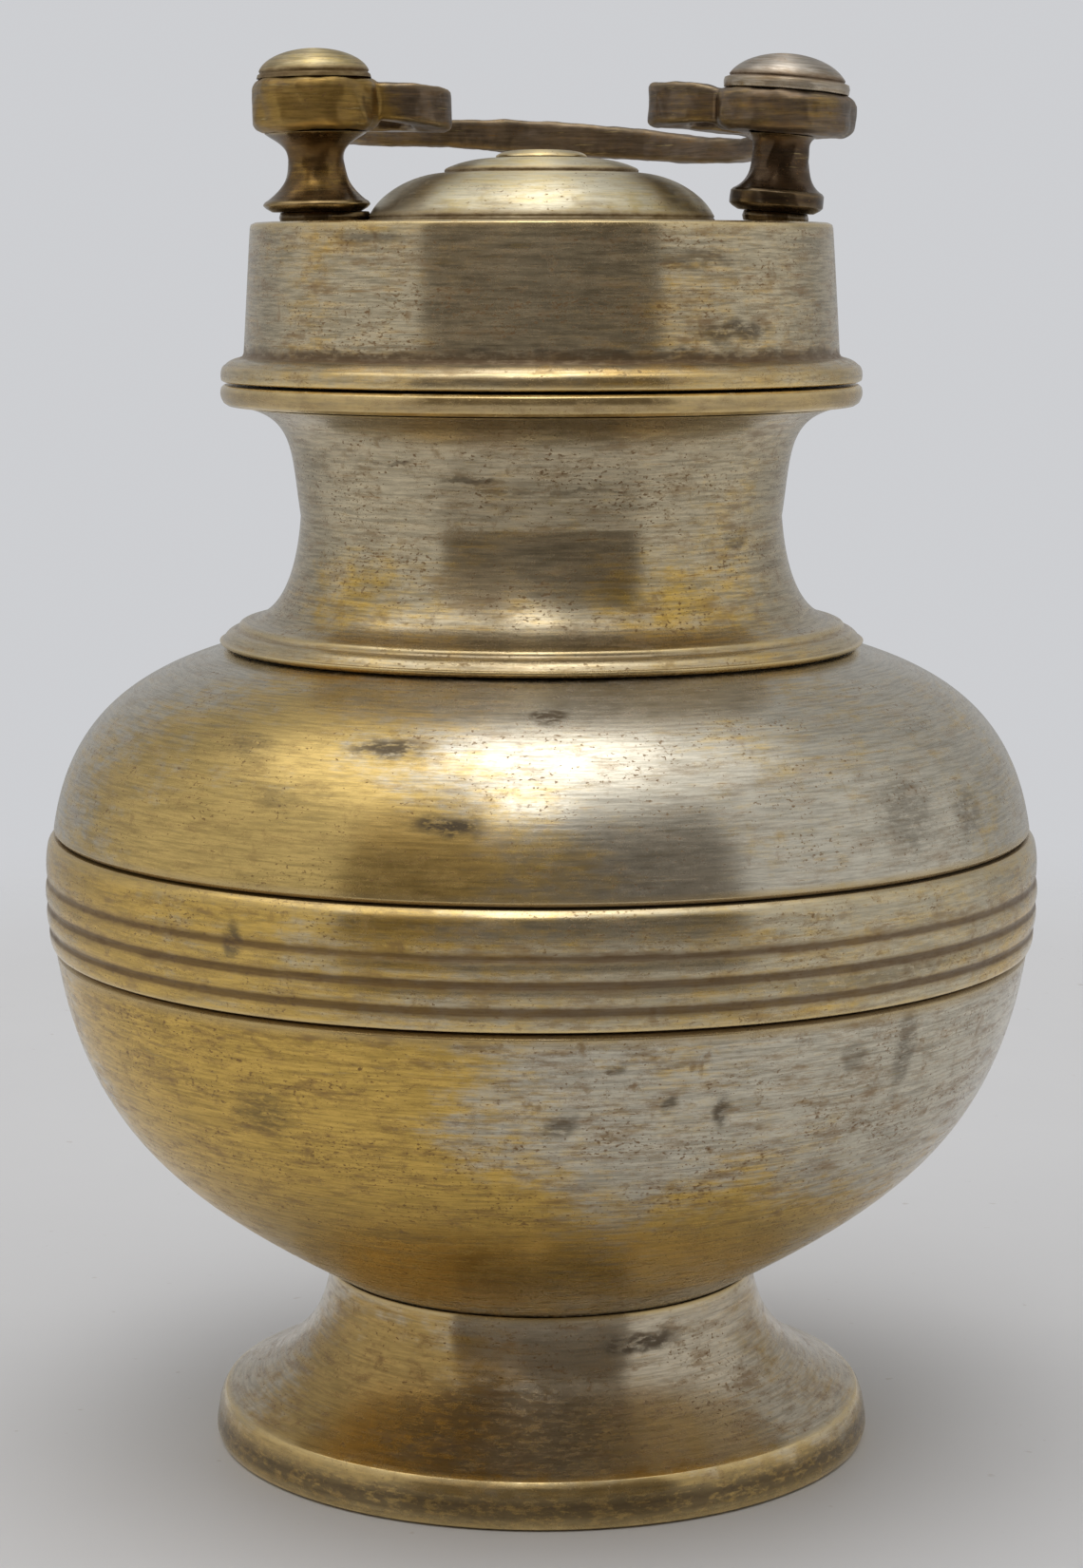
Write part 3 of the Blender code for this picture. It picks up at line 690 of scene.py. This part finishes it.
class Graph:
    """Adds shader nodes and links them.  An input is a socket or a plain value, such as a colour."""

    def __init__(self, tree):
        self.tree = tree
        tree.nodes.clear()

    def add(self, kind, inputs=None, **settings):
        node = self.tree.nodes.new("ShaderNode" + kind)
        for key, value in settings.items():
            setattr(node, key, value)
        for key, value in (inputs or {}).items():
            socket = node.inputs[key]
            if isinstance(value, bpy.types.NodeSocket):
                self.tree.links.new(value, socket)
            else:
                socket.default_value = (*value, 1.0) if socket.type == "RGBA" else value
        return node

    def math(self, operation, a, b=0.0, clamp=False):
        return self.add("Math", {0: a, 1: b}, operation=operation, use_clamp=clamp).outputs[0]

    def fold(self, operation, values):
        result = values[0]
        for value in values[1:]:
            result = self.math(operation, result, value)
        return result

    def total(self, *values):
        return self.fold("ADD", values)

    def product(self, *values):
        return self.fold("MULTIPLY", values)

    def most(self, *values):
        return self.fold("MAXIMUM", values)

    def clamp(self, value):
        return self.math("ADD", value, 0.0, clamp=True)

    def span(self, value, low, high):
        """0 at low and 1 at high, or the other way round where low is the greater."""
        inputs = {"Value": value, "From Min": low, "From Max": high}
        return self.add("MapRange", inputs, interpolation_type="SMOOTHSTEP").outputs["Result"]

    def scale(self, value, low, high):
        """From a value of 0 to 1, one of low to high."""
        inputs = {"Value": value, "To Min": low, "To Max": high}
        return self.add("MapRange", inputs).outputs["Result"]

    def times(self, vector, factor):
        """A vector or a colour, every part of it multiplied by the factor."""
        return self.add("VectorMath", {0: vector, "Scale": factor}, operation="SCALE").outputs["Vector"]

    def vector(self, operation, a, b=(0.0, 0.0, 0.0)):
        node = self.add("VectorMath", {0: a, 1: b}, operation=operation)
        return node.outputs["Value" if operation in ("LENGTH", "DOT_PRODUCT") else "Vector"]

    def split(self, vector):
        return self.add("SeparateXYZ", {0: vector}).outputs

    def mix(self, factor, a, b):
        node = self.add("Mix", {0: factor, 6: a, 7: b}, data_type="RGBA")
        return node.outputs[2]

    def rise_past(self, value, threshold, steepness):
        """0 up to the threshold, then rising to 1."""
        return self.math("MULTIPLY", self.math("SUBTRACT", value, threshold), steepness, clamp=True)

    def noise(self, position, scale, detail, roughness):
        inputs = {"Vector": position, "Scale": scale, "Detail": detail, "Roughness": roughness}
        return self.add("TexNoise", inputs).outputs["Fac"]

    def attribute(self, name):
        return self.add("Attribute", attribute_name=name).outputs["Fac"]

    def place(self):
        """Where a point of the object lies, in millimetres."""
        return self.times(self.add("TexCoord").outputs["Object"], 1 / MM)

    def surface(self, inputs, relief, strength, depth):
        """The material's shader, with a relief that is depth millimetres deep."""
        bump = self.add("Bump", {"Height": relief, "Strength": strength, "Distance": depth * MM})
        shader = self.add("BsdfPrincipled", {**inputs, "Normal": bump.outputs["Normal"]})
        self.add("OutputMaterial", {"Surface": shader.outputs["BSDF"]})


def new_material(name):
    """An empty material and the graph that fills it."""
    material = bpy.data.materials.new(name)
    material.use_nodes = True
    return material, Graph(material.node_tree)


OLD_SILVER = (0.52, 0.445, 0.305)
GOLD = (0.62, 0.41, 0.105)
BROWN = (0.25, 0.137, 0.044)
GRIME = (0.05, 0.028, 0.014)
FLECK = (0.20, 0.105, 0.036)
WORN = (0.86, 0.66, 0.32)
STAIN_AND_DARK_REFLECTION = (0.085, 0.062, 0.038)


def on_surface(bearing, radius, height):
    """A place on a turned surface, in millimetres."""
    angle = math.radians(bearing)
    return (radius * math.sin(angle), -radius * math.cos(angle), height)


def patch(graph, place, spot, soft):
    """The spot's strength near its middle, fading to 0 past its half-sizes."""
    bearing, radius, height, width, tall, strength = spot
    offset = graph.vector("SUBTRACT", place, on_surface(bearing, radius, height))
    stretched = graph.vector("DIVIDE", offset, (width, width, tall))
    return graph.product(graph.span(graph.vector("LENGTH", stretched), 1.0 + soft, 1.0 - soft), strength)


class Lathework:
    """The positions and noises that the layers of one turned brass piece share.

    shifted is the place moved by the seed; warped and shaken are pushed about, for ragged edges.
    """

    def __init__(self, graph, seed):
        self.graph = graph
        self.place = graph.place()
        self.shifted = graph.vector("ADD", self.place, (seed * 31.0, seed * 17.0, seed * 53.0))
        wander = graph.add("TexNoise", {"Vector": self.shifted, "Scale": 0.35, "Detail": 3.0})
        shove = graph.vector("SUBTRACT", wander.outputs["Color"], (0.5, 0.5, 0.5))
        self.warped = graph.vector("ADD", self.place, graph.times(shove, 5.0))
        self.shaken = graph.vector("ADD", self.place, graph.times(shove, 2.0))
        self.run = graph.math("ADD", graph.attribute("run"), seed * 53.0)
        self.streaks = self.rings(0.1, 1.8, 6.0, 0.68)
        self.fine = self.rings(0.22, 3.4, 4.0, 0.72)
        self.mottle = self.rings(0.45, 0.8, 6.0, 0.7)

    def rings(self, across, along, detail, roughness):
        """Noise drawn out round the axis: scales round the piece and down its outline."""
        x, y, _ = self.graph.split(self.shifted)
        parts = {"X": self.graph.math("MULTIPLY", x, across), "Y": self.graph.math("MULTIPLY", y, across),
                 "Z": self.graph.math("MULTIPLY", self.run, along)}
        ringed = self.graph.add("CombineXYZ", parts).outputs["Vector"]
        return self.graph.noise(ringed, 1.0, detail, roughness)

    def swing(self, noise_value, amount):
        return self.graph.product(self.graph.math("SUBTRACT", noise_value, 0.5), amount)


def bare_metal(work, silver, gold, gold_share, gold_patches):
    """Silvery and golden metal, in clouds, rings and the given patches."""
    g = work.graph
    clouds = g.noise(work.shifted, 0.045, 4.0, 0.6)
    golden = g.total(gold_share, work.swing(clouds, 1.6), work.swing(work.streaks, 1.0),
                     work.swing(work.mottle, 1.1))
    for spot in gold_patches:
        golden = g.total(golden, patch(g, work.warped, spot, 0.6))
    return g.mix(g.span(golden, 0.2, 0.9), silver, gold)


def brushed(work, skin, contrast):
    """Fine lathe lines: the metal a little darker and browner in one ring, golden in the next."""
    g = work.graph
    tone = g.total(work.swing(work.streaks, 0.7), work.swing(work.fine, 1.8))
    skin = g.times(skin, g.total(1.0, g.product(tone, contrast)))
    cuts = g.rise_past(work.fine, 0.60, 8.0)
    glints = g.rise_past(g.math("SUBTRACT", 1.0, work.fine), 0.61, 8.0)
    skin = g.mix(g.product(cuts, 0.75 * contrast), skin, BROWN)
    return g.mix(g.product(glints, 0.35 * contrast), skin, WORN)


def filmed(work, skin, tarnish):
    """The skin under a brown film in rings, lines and smudges, and how thick the film is."""
    g = work.graph
    rings = g.span(work.rings(0.2, 0.7, 7.0, 0.75), 0.47, 0.70)
    lines = g.span(work.streaks, 0.58, 0.74)
    smudges = g.span(g.noise(work.shifted, 0.42, 6.0, 0.68), 0.55, 0.72)
    film = g.product(g.most(rings, lines, smudges), tarnish)
    return g.mix(film, skin, BROWN), film


def flecked(work, skin, specks):
    """The skin with small brown flecks, in crowds here and there, and where they are."""
    g = work.graph
    crowd = g.span(work.rings(0.1, 0.22, 4.0, 0.6), 0.42, 0.64)
    grains = g.noise(g.vector("MULTIPLY", work.shifted, (0.7, 0.7, 1.3)), 2.9, 2.0, 0.6)
    threshold = g.scale(crowd, 0.71 - 0.03 * specks, 0.635 - 0.045 * specks)
    flecks = g.rise_past(grains, threshold, 14.0)
    return g.mix(g.product(flecks, 0.8), skin, FLECK), flecks


def add_stains_and_dark_reflections(work, skin, stains_and_dark_reflections):
    """The skin with its dark stain marks and any painted dark reflections given with them, and how strong
    they are.
    """
    if not stains_and_dark_reflections:
        return skin, 0.0
    g = work.graph
    masks = [patch(g, work.shaken, spot, 0.5) for spot in stains_and_dark_reflections]
    ragged = g.span(work.rings(0.6, 1.6, 5.0, 0.72), 0.38, 0.54)
    marks = g.product(g.most(*masks), g.scale(ragged, 0.35, 1.15))
    return g.mix(g.clamp(marks), skin, STAIN_AND_DARK_REFLECTION), marks


def handled(work, skin, shine, grooves):
    """The skin with dirt in its grooves and bare metal on its edges, and where these are."""
    g = work.graph
    dirt = g.clamp(g.product(g.attribute("groove"), g.scale(work.mottle, 0.3 * grooves, 1.5 * grooves)))
    skin = g.mix(g.product(dirt, 0.8), skin, g.mix(g.product(dirt, 0.55), BROWN, GRIME))
    edge = g.clamp(g.product(g.attribute("edge"), g.scale(work.mottle, 0.2, 1.7),
                             g.scale(work.streaks, 0.6, 1.5), g.math("SUBTRACT", 1.0, dirt)))
    return g.mix(g.product(edge, shine), skin, WORN), dirt, edge


def brass(name, seed, silver, specks, gold=GOLD, gold_share=0.3, gold_patches=(), stains_and_dark_reflections=(),
          tarnish=0.4, roughness=0.24, shine=0.7, contrast=1.0, grooves=1.0):
    """Old turned brass: silvery tarnish worn through to gold, lathe lines, flecks, dirt, stain marks and any
    painted dark reflections given with them.
    """
    material, g = new_material(name)
    work = Lathework(g, seed)
    skin = brushed(work, bare_metal(work, silver, gold, gold_share, gold_patches), contrast)
    skin, film = filmed(work, skin, tarnish)
    skin, flecks = flecked(work, skin, specks)
    skin, marks = add_stains_and_dark_reflections(work, skin, stains_and_dark_reflections)
    skin, dirt, edge = handled(work, skin, shine, grooves)
    inside = g.attribute("inside")
    skin = g.mix(g.product(inside, 0.8), skin, g.mix(work.mottle, BROWN, GRIME))

    dull = g.clamp(g.total(g.product(flecks, 0.45), g.product(dirt, 0.6), g.product(marks, 0.4),
                           g.product(inside, 0.5)))
    rough = g.total(roughness, work.swing(work.mottle, 0.18), g.product(film, 0.14),
                    g.product(dull, 0.3), g.product(edge, -0.08))
    relief = g.total(g.product(work.fine, 0.5), g.product(work.streaks, 0.7), g.product(flecks, -0.3),
                     g.product(work.mottle, 0.5))
    g.surface({
        "Base Color": skin,
        "Metallic": g.math("SUBTRACT", 1.0, g.most(g.product(dull, 0.75), g.product(film, 0.6))),
        "Roughness": g.clamp(rough),
        "Anisotropic": 0.85,
        "Anisotropic Rotation": 0.25,
        "Tangent": g.add("Tangent", direction_type="RADIAL", axis="Z").outputs["Tangent"],
    }, relief, strength=1.0, depth=0.012)
    return material


def leather(name):
    material, g = new_material(name)
    grain = g.noise(g.place(), 1.8, 5.0, 0.65)
    patches = g.noise(g.place(), 0.25, 3.0, 0.5)
    skin = g.mix(patches, (0.11, 0.055, 0.028), (0.22, 0.12, 0.06))
    skin = g.mix(g.span(grain, 0.5, 0.7), skin, (0.05, 0.03, 0.02))
    g.surface({"Base Color": skin, "Roughness": g.scale(grain, 0.65, 0.9)}, grain, strength=0.8, depth=0.15)
    return material


# ---- finishes ----

BRONZE = (0.165, 0.124, 0.09)
BLACK_BRONZE = (0.065, 0.045, 0.032)

# What brass() is told for each metal.  Gold patches and dark marks (stain marks, and on the foot also
# painted dark reflections) are spots, each of which is
# (bearing, radius, height, half width, half height, strength).
LOOKS = {
    "lower_bowl": dict(
        silver=(0.55, 0.505, 0.40), gold_share=0.22, specks=1.5, tarnish=0.75, contrast=1.2,
        gold_patches=((-40, 50, 42, 26, 28, 0.95), (5, 42, 28, 40, 9, 0.7), (165, 50, 42, 32, 24, 0.6)),
        stains_and_dark_reflections=((-33, 50, 44, 3.2, 2.4, 0.5), (-42, 48, 37.5, 1.6, 0.9, 0.55), (44, 51, 47, 1.4, 6.0, 0.5),
                (-20, 44, 31, 5, 1.0, 0.4), (2, 49.2, 44.5, 1.6, 1.2, 0.6), (14, 49.7, 46.5, 0.9, 0.9, 0.65),
                (20, 49.4, 45.5, 1.0, 1.6, 0.7), (8, 50.7, 50.5, 1.0, 0.6, 0.55),
                (36, 50.5, 49.5, 1.6, 1.4, 0.4))),
    "belly_band": dict(
        silver=(0.53, 0.475, 0.35), gold_share=0.40, specks=1.2, tarnish=0.65, grooves=2.3,
        gold_patches=((-42, 52, 60, 28, 14, 0.6),),
        stains_and_dark_reflections=((-34, 52, 61, 1.0, 1.8, 0.8), (38, 52, 57.5, 14, 0.8, 0.4))),
    "upper_bowl": dict(
        silver=(0.57, 0.53, 0.435), gold=(0.60, 0.425, 0.15), gold_share=0.16, specks=0.9,
        gold_patches=((-38, 48, 74, 22, 13, 0.75), (-26, 51, 68.5, 25, 5, 0.75), (-155, 48, 74, 26, 12, 0.5)),
        stains_and_dark_reflections=((1, 40, 82.3, 2.2, 0.9, 1.0), (-10, 49, 73, 3.4, 0.9, 0.9), (-19, 46, 79.4, 4.0, 0.9, 0.8),
                (-38, 44, 78.5, 3.2, 1.2, 0.4), (16, 50, 69.8, 0.7, 0.7, 0.8), (45, 49, 72, 4.0, 3.5, 0.4),
                (57, 50, 71, 2.5, 2.5, 0.4), (-31, 48, 74.5, 2.5, 1.0, 0.35))),
    "neck": dict(
        silver=OLD_SILVER, gold_share=0.2, specks=1.3, tarnish=0.55, contrast=1.3, grooves=0.35,
        gold_patches=((22, 26, 92, 9, 3.5, 0.35), (-52, 26, 93, 10, 4, 0.3)),
        stains_and_dark_reflections=((-15, 26, 103.5, 3.6, 0.25, 0.5), (-34, 26, 105, 2.6, 0.25, 0.5),
                (50, 25, 97, 1.8, 0.8, 0.5), (4, 26, 102.5, 7, 0.25, 0.4))),
    "mouth_ring": dict(
        silver=(0.33, 0.245, 0.14), gold=(0.42, 0.285, 0.105), gold_share=0.4, specks=0.7,
        tarnish=0.8, shine=1.0),
    "foot": dict(
        silver=(0.55, 0.48, 0.36), gold=(0.46, 0.31, 0.11), gold_share=0.22, specks=0.9,
        tarnish=0.7, shine=1.0, roughness=0.2,
        gold_patches=((-45, 28, 9, 18, 9, 0.7), (-10, 35, 2.5, 30, 2.5, 0.6), (0, 35, 1.5, 60, 2.5, 0.6)),
        # The fourth spot is a painted dark reflection down the middle of the foot's front.  The last is
        # partly tarnish and partly a painted reflection of the shaded floor and the dark opening in front,
        # round the rim and darkest at the front.
        stains_and_dark_reflections=((27, 24, 15.2, 4.2, 0.9, 0.8), (50, 35, 1.5, 4, 0.8, 0.6), (-60, 35, 2, 5, 1.2, 0.5),
                (-8, 29, 7.5, 13, 5, 0.62), (0, 35.6, 2.0, 60, 1.9, 0.72))),
    "lid_shell": dict(
        silver=OLD_SILVER, gold=(0.58, 0.37, 0.10), gold_share=0.26, specks=1.7, tarnish=0.7,
        contrast=1.5, gold_patches=((0, 33, 113, 40, 1.6, 0.2),),
        stains_and_dark_reflections=((38, 30, 118, 4.5, 0.9, 0.7), (30, 30, 125, 4.0, 0.9, 0.5), (-33, 30, 127, 4.0, 0.6, 0.5),
                # The last spot darkens a line round the front, along the corner at the foot of the lid's
                # wall.
                (0, 31, 115.5, 45, 0.7, 0.7))),
    "lid_dome": dict(
        silver=(0.66, 0.61, 0.46), gold=(0.61, 0.49, 0.23), gold_share=0.36, specks=0.4,
        tarnish=0.3, roughness=0.38, contrast=0.7),
    "left_post": dict(
        silver=(0.13, 0.08, 0.033), gold=(0.42, 0.25, 0.06), gold_share=0.2, specks=0.2,
        tarnish=0.5, shine=0.2, gold_patches=((-90, 23, 132.6, 3.5, 2.2, 0.6),)),
    "left_cap": dict(
        silver=(0.56, 0.475, 0.29), gold=(0.50, 0.375, 0.14), gold_share=0.5, specks=0.3,
        tarnish=0.5, roughness=0.36, shine=0.15, contrast=1.5),
    "right_cap": dict(
        silver=(0.46, 0.41, 0.35), gold=(0.36, 0.26, 0.16), specks=0.3, tarnish=0.6,
        roughness=0.33, shine=0.15, contrast=1.5),
    "right_post": dict(
        silver=BLACK_BRONZE, gold=BRONZE, gold_share=0.15, specks=0.2, tarnish=0.3, shine=0.1),
    "handle": dict(
        silver=BRONZE, gold=(0.30, 0.19, 0.055), gold_share=0.15, specks=0.4, tarnish=0.35,
        roughness=0.38, shine=0.35, contrast=1.3, gold_patches=((-90, 23.2, 141, 7.5, 6, 1.2),)),
}


def make_finishes():
    """Each piece's material.  A metal's seed, its number in LOOKS, gives it clouds of its own."""
    finishes = {"lid_seal": leather("seal_leather")}
    for seed, (node, look) in enumerate(LOOKS.items(), 1):
        finishes[node] = brass(node + "_metal", seed, **look)
    finishes["dome_rivet"] = finishes["lid_dome"]
    # The washers take the right post's near-black bronze: partly grime and partly painted shade under the
    # posts' flanges.
    finishes["left_post_washer"] = finishes["right_post_washer"] = finishes["right_post"]
    return finishes


# ---- assembly ----

def place_piece(piece, node, body, finish):
    """One fine piece for one CAD node: its material, what it stands for and what it moves with."""
    piece.data.materials.append(finish)
    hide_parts(node)
    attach(piece, body)


def build_pot(finishes):
    pieces = {"foot": make_foot, "lower_bowl": make_lower_bowl, "belly_band": make_belly_band,
              "upper_bowl": make_upper_bowl, "neck": make_neck, "mouth_ring": make_mouth_ring}
    for node, make in pieces.items():
        place_piece(make(), node, "pot", finishes[node])


def build_lid(finishes):
    pieces = (("lid_shell", make_lid_shell, "lid", "lid_brass"),
              ("lid_dome", make_lid_dome, "lid", "dome_brass"),
              ("dome_rivet", make_dome_rivet, "lid", "dome_brass"),
              ("lid_seal", make_lid_seal, "seal", "seal_leather"),
              ("handle", make_handle, "lid", "dark_bronze"))
    for node, make, body, slot in pieces:
        place_piece(make(), node, body, finishes[node])


def build_posts(finishes):
    makers = {"post": make_post, "post_washer": make_post_washer, "cap": make_cap}
    for name, side in SIDES.items():
        for kind, make in makers.items():
            node = name + "_" + kind
            place_piece(make(name, side), node, "lid", finishes[node])


# ---- studio ----

CAMERA_PLACE = (0.0, -0.3763, 0.1243)    # metres
CAMERA_DIP = 8.22                        # degrees down from level
CAMERA_LENS = 82.34
CAMERA_SENSOR = 36.0
FLOOR_RADIUS = 0.6                       # metres
FLOOR_FADE = (0.24, 0.42)                # from where to where the floor turns transparent
FLOOR_DROP = 0.00005                     # metres, which keeps the foot clear of the floor
BACKDROP = (0.612, 0.62, 0.642)


def direction(bearing, elevation):
    """A unit vector: bearing 0 is towards the front (-Y), elevation 90 is straight up."""
    level = math.cos(math.radians(elevation))
    x, y, _ = on_surface(bearing, level, 0.0)
    return (x, y, math.sin(math.radians(elevation)))


def between(g, value, start, end, soft):
    """1 where an angle lies from start to end, in degrees, with soft ends."""
    rise = g.span(value, math.radians(start - soft), math.radians(start + soft))
    fall = g.span(value, math.radians(end + soft), math.radians(end - soft))
    return g.product(rise, fall)


def round_light(g, way, towards, reach, soft):
    """1 in the directions within reach degrees of one, with a soft rim."""
    cosine = g.vector("DOT_PRODUCT", way, towards)
    return g.span(cosine, math.cos(math.radians(reach + soft)), math.cos(math.radians(reach - soft)))


def studio_light(g, way):
    """How bright each direction is, and which directions the opening takes up."""
    x, y, z = g.split(way)
    bearing = g.math("ARCTAN2", x, g.math("MULTIPLY", y, -1.0))
    elevation = g.math("ARCSINE", z)
    opening = g.product(between(g, bearing, -47, 47, 1.2), between(g, elevation, -14, 44, 3))
    overhead = round_light(g, way, direction(0, 88), 12, 9)
    glow = round_light(g, way, direction(0, 88), 28, 16)
    panel = g.product(between(g, bearing, -50, -10, 5), between(g, elevation, 26, 44, 5))
    window = g.product(between(g, bearing, -125, -40, 14), between(g, elevation, 44, 62, 7))
    lamp = round_light(g, way, direction(-6, 56), 7, 5)
    behind = g.span(g.math("ABSOLUTE", bearing), math.radians(100), math.radians(135))
    walls = g.product(g.scale(opening, 0.62, 0.14), g.scale(behind, 1.0, 0.68))
    light = g.total(walls, g.product(overhead, 2.0), g.product(glow, 0.8), g.product(panel, 0.3),
                    g.product(window, 0.7), g.product(lamp, 2.2))
    return light, opening


def make_world():
    """White walls, a dark opening in front with a panel in it, and lights overhead, in front and left."""
    world = bpy.data.worlds.new("studio")
    bpy.context.scene.world = world
    world.use_nodes = True
    g = Graph(world.node_tree)
    light, opening = studio_light(g, g.add("TexCoord").outputs["Generated"])
    tint = g.mix(opening, (0.985, 0.985, 0.985), (1.0, 0.86, 0.70))
    studio = g.add("Background", {"Color": tint, "Strength": light})
    plain = g.add("Background", {"Color": BACKDROP, "Strength": 1.0})
    seen = g.add("LightPath").outputs["Is Camera Ray"]
    both = g.add("MixShader", {0: seen, 1: studio.outputs[0], 2: plain.outputs[0]})
    g.add("OutputWorld", {"Surface": both.outputs[0]})


def floor_paint():
    """Pale paint with faint clouds and a few specks, transparent far from the pot."""
    material, g = new_material("floor")
    place = g.add("TexCoord").outputs["Object"]
    clouds = g.noise(place, 18.0, 4.0, 0.6)
    specks = g.span(g.noise(place, 420.0, 2.0, 0.5), 0.72, 0.78)
    white = g.mix(clouds, (0.61, 0.61, 0.62), (0.655, 0.655, 0.665))
    tone = g.mix(g.product(specks, 0.35), white, (0.35, 0.30, 0.26))
    paint = g.add("BsdfPrincipled", {"Base Color": tone, "Roughness": 0.55})
    gone = g.span(g.vector("LENGTH", place), *FLOOR_FADE)
    clear = g.add("BsdfTransparent")
    both = g.add("MixShader", {0: gone, 1: paint.outputs[0], 2: clear.outputs[0]})
    g.add("OutputMaterial", {"Surface": both.outputs[0]})
    return material


def make_floor():
    """A plain pale floor whose far edge fades into the backdrop."""
    bpy.ops.mesh.primitive_circle_add(vertices=96, radius=FLOOR_RADIUS, fill_type="NGON",
                                      location=(0, 0, -FLOOR_DROP))
    floor = bpy.context.object
    floor.name = "floor"
    floor.data.materials.append(floor_paint())


def make_camera():
    """A long lens 38 cm in front of the pot, looking down 8 degrees."""
    data = bpy.data.cameras.new("camera")
    data.sensor_fit = "VERTICAL"
    data.sensor_height = CAMERA_SENSOR
    data.lens = CAMERA_LENS
    data.clip_start = 0.01
    camera = bpy.data.objects.new("camera", data)
    camera.location = CAMERA_PLACE
    camera.rotation_euler = (math.radians(90 - CAMERA_DIP), 0.0, 0.0)
    bpy.context.scene.collection.objects.link(camera)
    bpy.context.scene.camera = camera


bpy.context.scene.view_settings.view_transform = "Standard"
make_camera()
make_world()
make_floor()
finishes = make_finishes()
build_pot(finishes)
build_lid(finishes)
build_posts(finishes)
